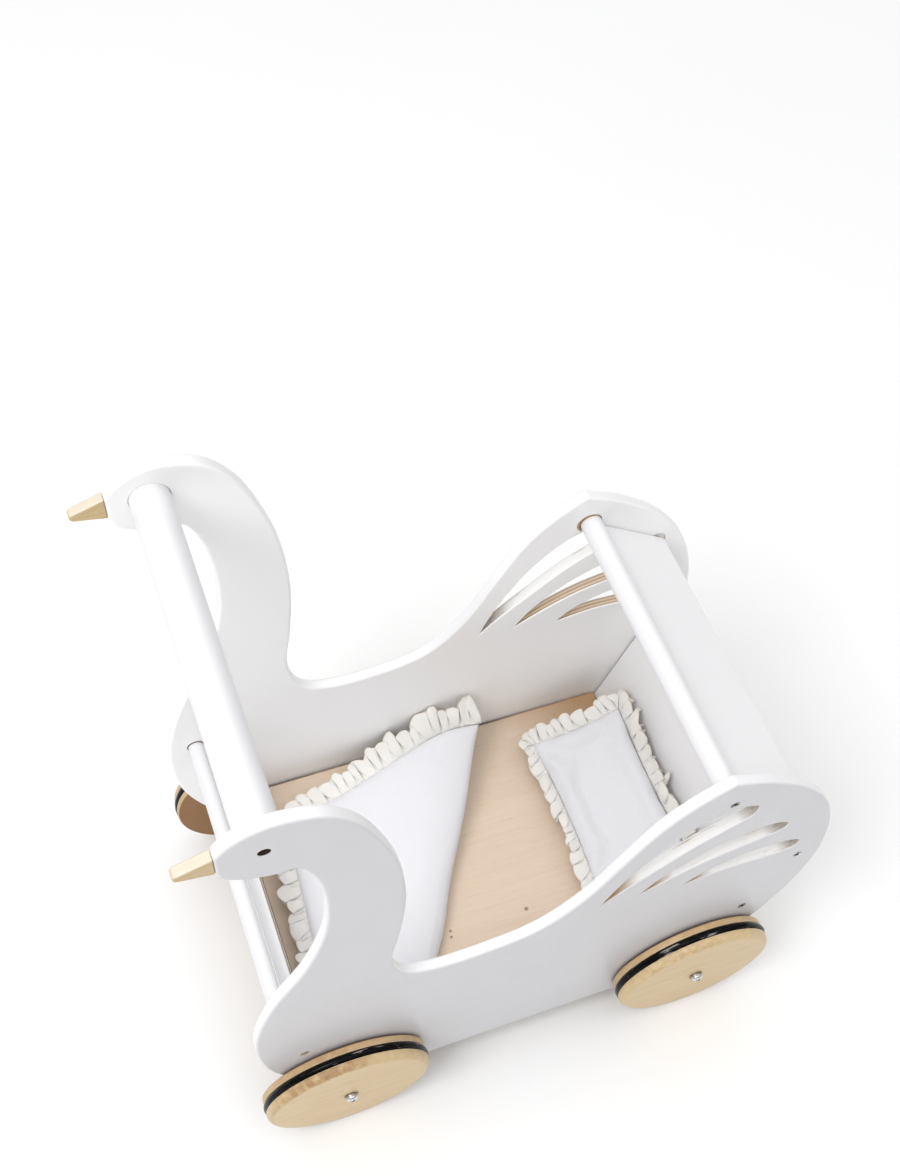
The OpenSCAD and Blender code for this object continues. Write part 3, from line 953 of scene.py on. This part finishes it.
def pillow():
    """A pad whose sides pull in between its corners, tilted up against the leaning board."""
    across, along = 22, 42
    tilt = math.radians(15)
    center = Vector((127.5 * MM, 4 * MM, 120 * MM))
    side_way = Vector((math.cos(tilt), 0, math.sin(tilt)))
    up = Vector((-math.sin(tilt), 0, math.cos(tilt)))
    half_u, half_v, crown = 40.5 * MM, 72 * MM, 11 * MM

    def place(u, v, side):
        a, b = 2 * u - 1, 2 * v - 1
        pull_a = 1 - 0.06 * (1 - b * b) ** 1.5 * abs(a)
        pull_b = 1 - 0.03 * (1 - a * a) ** 1.5 * abs(b)
        swell = crown * ((1 - a ** 4) * (1 - b ** 4)) ** 0.5
        flat = center + side_way * (half_u * a * pull_a) + Vector((0, half_v * b * pull_b, 0))
        return flat + up * (side * swell)

    def share(t):
        return 1 + 0.27 * math.sin(2 * math.pi * (t - 0.086))

    mesh, order = two_sheets("pillow_piece", place, across, along)
    filled(mesh, order, hold=1.0, pressure=3.2, grow=0.012, frames=22)
    obj = mesh_object("pillow_piece", mesh, COTTON, "pillow_body", ["pillow"])
    seam = seam_run(mesh, order, 0, len(order))
    ruffle("pillow_ruffle", "pillow_body", seam, center, up, 11, 14.5 * MM, share)
    soft_finish(obj)


def mix(a, b, t):
    return a * (1 - t) + b * t


def duvet():
    """A pad between two lines, the far and the near side of the bed, both from the head to the tail."""
    across, along = 44, 48
    far_side = [(-131, 70, 113), (-80, 80, 114), (-24, 92, 127), (14, 96, 141), (47, 93, 144)]
    near_side = [
        (-145, -108, 110), (-120, -109, 110), (-100, -110, 110), (-86, -110, 109), (-69, -110, 107),
    ]
    far_line = smooth_path([Vector(p) * MM for p in far_side], 2 * MM)
    near_line = smooth_path([Vector(p) * MM for p in near_side], 2 * MM)
    center = Vector((-60, -10, 112)) * MM
    up = Vector((0, 0, 1))

    def place(u, v, side):
        far_point = far_line[round(u * (len(far_line) - 1))]
        near_point = near_line[round(u * (len(near_line) - 1))]
        p = mix(near_point, far_point, v)
        p.z = mix(near_point.z, far_point.z, v ** 2.6)
        p.z -= 3 * MM * u ** 6 * (1 - v)
        p.x += 0.9 * MM * u ** 8 * math.sin(21 * v + 2 * math.sin(5 * v))
        swell = ((1 - (2 * u - 1) ** 6) * (1 - (2 * v - 1) ** 6)) ** 0.5
        if side > 0:
            return p + up * (10 * MM * swell)
        if side < 0:
            return p + up * ((FLOOR_Z + 1 * MM - p.z) * swell)
        return p

    mesh, order = two_sheets("duvet_piece", place, across, along)
    filled(mesh, order, hold=0.6, pressure=2.2, grow=0.07, frames=26)
    obj = mesh_object("duvet_piece", mesh, COTTON, "duvet_body", ["duvet"])
    tail_corner, head_corner, end = across + along, 2 * across + along, len(order)
    for name, run, seed, share in (
        ("duvet_ruffle_side", (tail_corner, head_corner), 5, lambda t: 1.3 - 0.5 * t),
        ("duvet_ruffle_head", (head_corner, end), 8, lambda t: 0.9 + 0.1 * t),
    ):
        seam = seam_run(mesh, order, *run)
        ruffle(name, "duvet_body", seam, center, up, seed, 18 * MM, share)
    soft_finish(obj)


# ---------------------------------------------------------------- studio

def ground():
    bm = bmesh.new()
    bmesh.ops.create_grid(bm, x_segments=2, y_segments=2, size=30)
    mesh = as_mesh("ground", bm)
    look = Look("ground", Roughness=0.75)
    cloud = look.noise(2, 2)
    look.give("Base Color", look.blend(cloud, (0.895, 0.893, 0.89), (0.915, 0.915, 0.915)))
    mesh.materials.append(look.material)
    loose_object("ground", mesh)


def sky():
    """Plain light from all round, dim near the horizon and bright overhead."""
    low, high = 0.3, 0.9          # it brightens between these heights, with 1 straight up
    dim, bright = 0.26, 1.42
    world = bpy.data.worlds.new("studio")
    world.use_nodes = True
    nodes, links = world.node_tree.nodes, world.node_tree.links
    split = nodes.new("ShaderNodeSeparateXYZ")
    links.new(nodes.new("ShaderNodeTexCoord").outputs["Generated"], split.inputs[0])
    rise = nodes.new("ShaderNodeMapRange")
    links.new(split.outputs["Z"], rise.inputs[0])
    for index, value in enumerate((low, high, dim, bright), start=1):
        rise.inputs[index].default_value = value
    links.new(rise.outputs[0], nodes["Background"].inputs[1])
    nodes["Background"].inputs[0].default_value = (0.994, 0.997, 1.0, 1)
    bpy.context.scene.world = world


def key_light():
    place, aim = Vector((-1.2, -0.5, 2.0)), Vector((0, 0, 0.2))
    light = bpy.data.lights.new("key", "AREA")
    light.size = 0.9
    light.energy = 19
    obj = loose_object("key", light)
    obj.location = place
    obj.rotation_euler = (aim - place).to_track_quat("-Z", "Y").to_euler()


def camera():
    data = bpy.data.cameras.new("camera")
    data.sensor_width = 36
    data.lens = 42.89
    data.shift_x = -0.0085
    data.shift_y = 0.0867
    data.clip_start = 0.05
    obj = loose_object("camera", data)
    obj.location = (-0.2272, -0.4174, 1.1463)
    obj.rotation_euler = [math.radians(a) for a in (30.979, -3.547, -20.276)]
    bpy.context.scene.camera = obj


panels()
boards()
rails()
wheels()
axle_screws()
small_metal()
pillow()
duvet()
ground()
sky()
key_light()
camera()
bpy.context.scene.view_settings.view_transform = "Standard"
